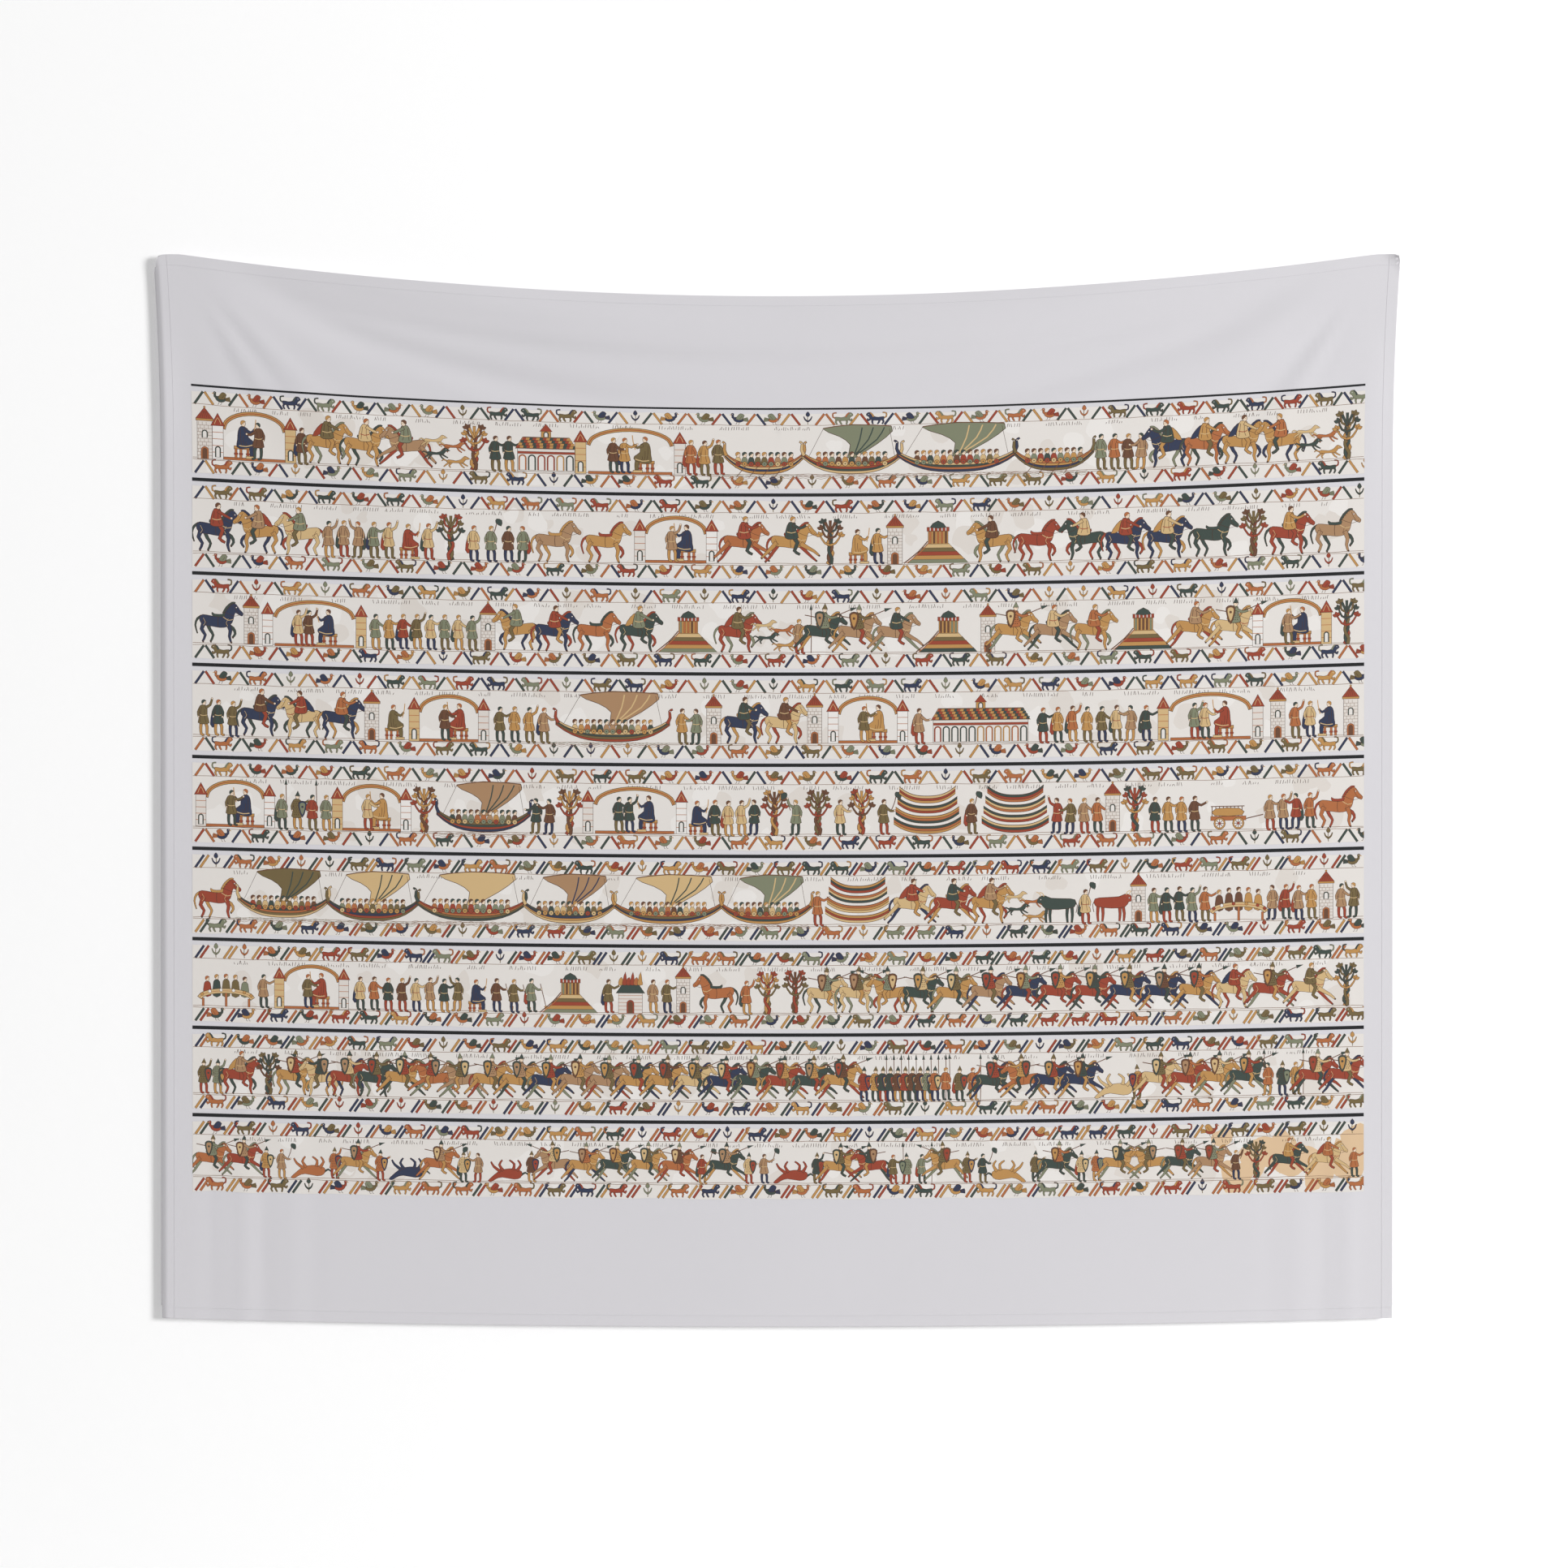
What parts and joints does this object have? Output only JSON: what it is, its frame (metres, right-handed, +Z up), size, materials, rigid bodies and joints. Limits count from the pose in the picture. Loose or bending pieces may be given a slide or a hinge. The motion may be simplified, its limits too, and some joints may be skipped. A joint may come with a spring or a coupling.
{
  "type": "tapestry wall hanging",
  "caption": "Wide printed cloth wall hanging with hemmed edges, hung by rings in tape tabs on flat wall hooks behind its top corners.",
  "frame": {"origin": "on the wall plane, midway between the two hook screws", "axes": "+X to the viewer's right along the wall, +Y into the wall, +Z up"},
  "size_m": [2.026, 0.0362, 1.745],
  "materials": {
    "cloth": "matt plain-woven polyester with a printed frieze",
    "thread": "spun polyester sewing thread",
    "tape": "herringbone twill tape",
    "label": "blank woven satin",
    "ring_steel": "nickel-plated wire",
    "hook_steel": "zinc-plated strip",
    "screw_steel": "zinc-plated"
  },
  "bodies": {
    "wall_fixings": {"left_hook": "hook_steel", "right_hook": "hook_steel", "left_screw": "screw_steel", "right_screw": "screw_steel"},
    "rings": {"left_ring": "ring_steel", "right_ring": "ring_steel"},
    "hanging_cloth": {"printed_cloth": "cloth", "top_hem": "cloth", "bottom_hem": "cloth", "left_hem": "cloth", "right_hem": "cloth", "top_hem_thread": "thread", "bottom_hem_thread": "thread", "left_hem_thread": "thread", "right_hem_thread": "thread", "left_tab": "tape", "right_tab": "tape", "left_tab_thread": "thread", "right_tab_thread": "thread", "care_label": "label", "care_label_thread": "thread"}
  },
  "joints": [
    {"name": "lift_off", "type": "slide", "parent": "wall_fixings", "child": "rings", "axis": [0, 0, 1], "range_m": [0, 0.01]},
    {"name": "swing", "type": "hinge", "parent": "rings", "child": "hanging_cloth", "pos_m": [0, -0.003, -0.02634], "axis": [-1, 0, 0], "range_deg": [0, 20]}
  ]
}
